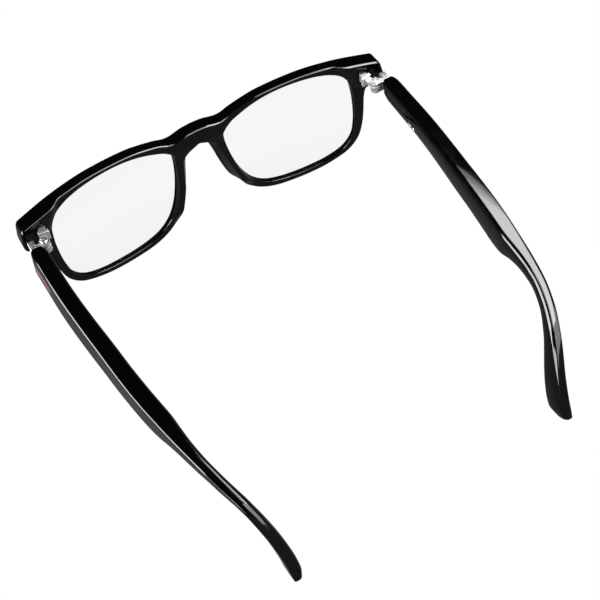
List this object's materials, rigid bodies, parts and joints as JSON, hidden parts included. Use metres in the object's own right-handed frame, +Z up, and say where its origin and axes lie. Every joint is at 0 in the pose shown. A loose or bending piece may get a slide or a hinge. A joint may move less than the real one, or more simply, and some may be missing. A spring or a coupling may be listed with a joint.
{
  "type": "smart glasses",
  "caption": "Full-rim smart glasses with clear lenses, metal barrel hinges and thick folding temples that house audio electronics.",
  "frame": {"origin": "centre of the bounding box in plan, on the surface the glasses stand on", "axes": "+Y the way the wearer looks, +X to the wearer's right, +Z up"},
  "size_m": [0.148, 0.157, 0.05],
  "materials": {
    "battery_left": "foil pouch",
    "battery_right": "foil pouch",
    "charge_contact_front": "plated",
    "charge_contact_rear": "plated",
    "front_frame": "high gloss black",
    "hinge_block_left": "satin, cast",
    "hinge_block_right": "satin, cast",
    "hinge_leaf_left": "satin, cast",
    "hinge_leaf_right": "satin, cast",
    "hinge_screw_left": "bright turned",
    "hinge_screw_right": "bright turned",
    "inlay_left": "plain red, in place of the printed mark",
    "lens_left": "clear, faintly tinted, polished",
    "lens_right": "clear, faintly tinted, polished",
    "main_board_right": "solder resist",
    "microphone_left": "small metal can",
    "processor_right": "moulded package",
    "sensor_window_right": "smoked black",
    "speaker_grille_left": "fine perforated",
    "speaker_grille_right": "fine perforated",
    "speaker_left": "dark plated can",
    "speaker_right": "dark plated can",
    "sub_board_left": "solder resist",
    "temple_cover_left": "high gloss black",
    "temple_cover_right": "high gloss black",
    "temple_shell_left": "high gloss black",
    "temple_shell_right": "high gloss black",
    "touch_flex_right": "polyimide and copper flex"
  },
  "bodies": {
    "front": {"front_frame": "front_frame", "lens_left": "lens_left", "lens_right": "lens_right", "hinge_leaf_left": "hinge_leaf_left", "hinge_leaf_right": "hinge_leaf_right"},
    "temple_left": {"battery_left": "battery_left", "hinge_block_left": "hinge_block_left", "hinge_screw_left": "hinge_screw_left", "inlay_left": "inlay_left", "microphone_left": "microphone_left", "speaker_grille_left": "speaker_grille_left", "speaker_left": "speaker_left", "sub_board_left": "sub_board_left", "temple_cover_left": "temple_cover_left", "temple_shell_left": "temple_shell_left"},
    "temple_right": {"battery_right": "battery_right", "charge_contact_front": "charge_contact_front", "charge_contact_rear": "charge_contact_rear", "hinge_block_right": "hinge_block_right", "hinge_screw_right": "hinge_screw_right", "main_board_right": "main_board_right", "processor_right": "processor_right", "sensor_window_right": "sensor_window_right", "speaker_grille_right": "speaker_grille_right", "speaker_right": "speaker_right", "temple_cover_right": "temple_cover_right", "temple_shell_right": "temple_shell_right", "touch_flex_right": "touch_flex_right"}
  },
  "joints": [
    {"name": "hinge_left", "type": "hinge", "parent": "front", "child": "temple_left", "pos_m": [-0.0668, 0.05823, 0.0407], "axis": [0, -0.0849, 0.9964], "range_deg": [0, 78]},
    {"name": "hinge_right", "type": "hinge", "parent": "front", "child": "temple_right", "pos_m": [0.0668, 0.05823, 0.0407], "axis": [0, -0.0849, 0.9964], "range_deg": [-85, 0]}
  ]
}
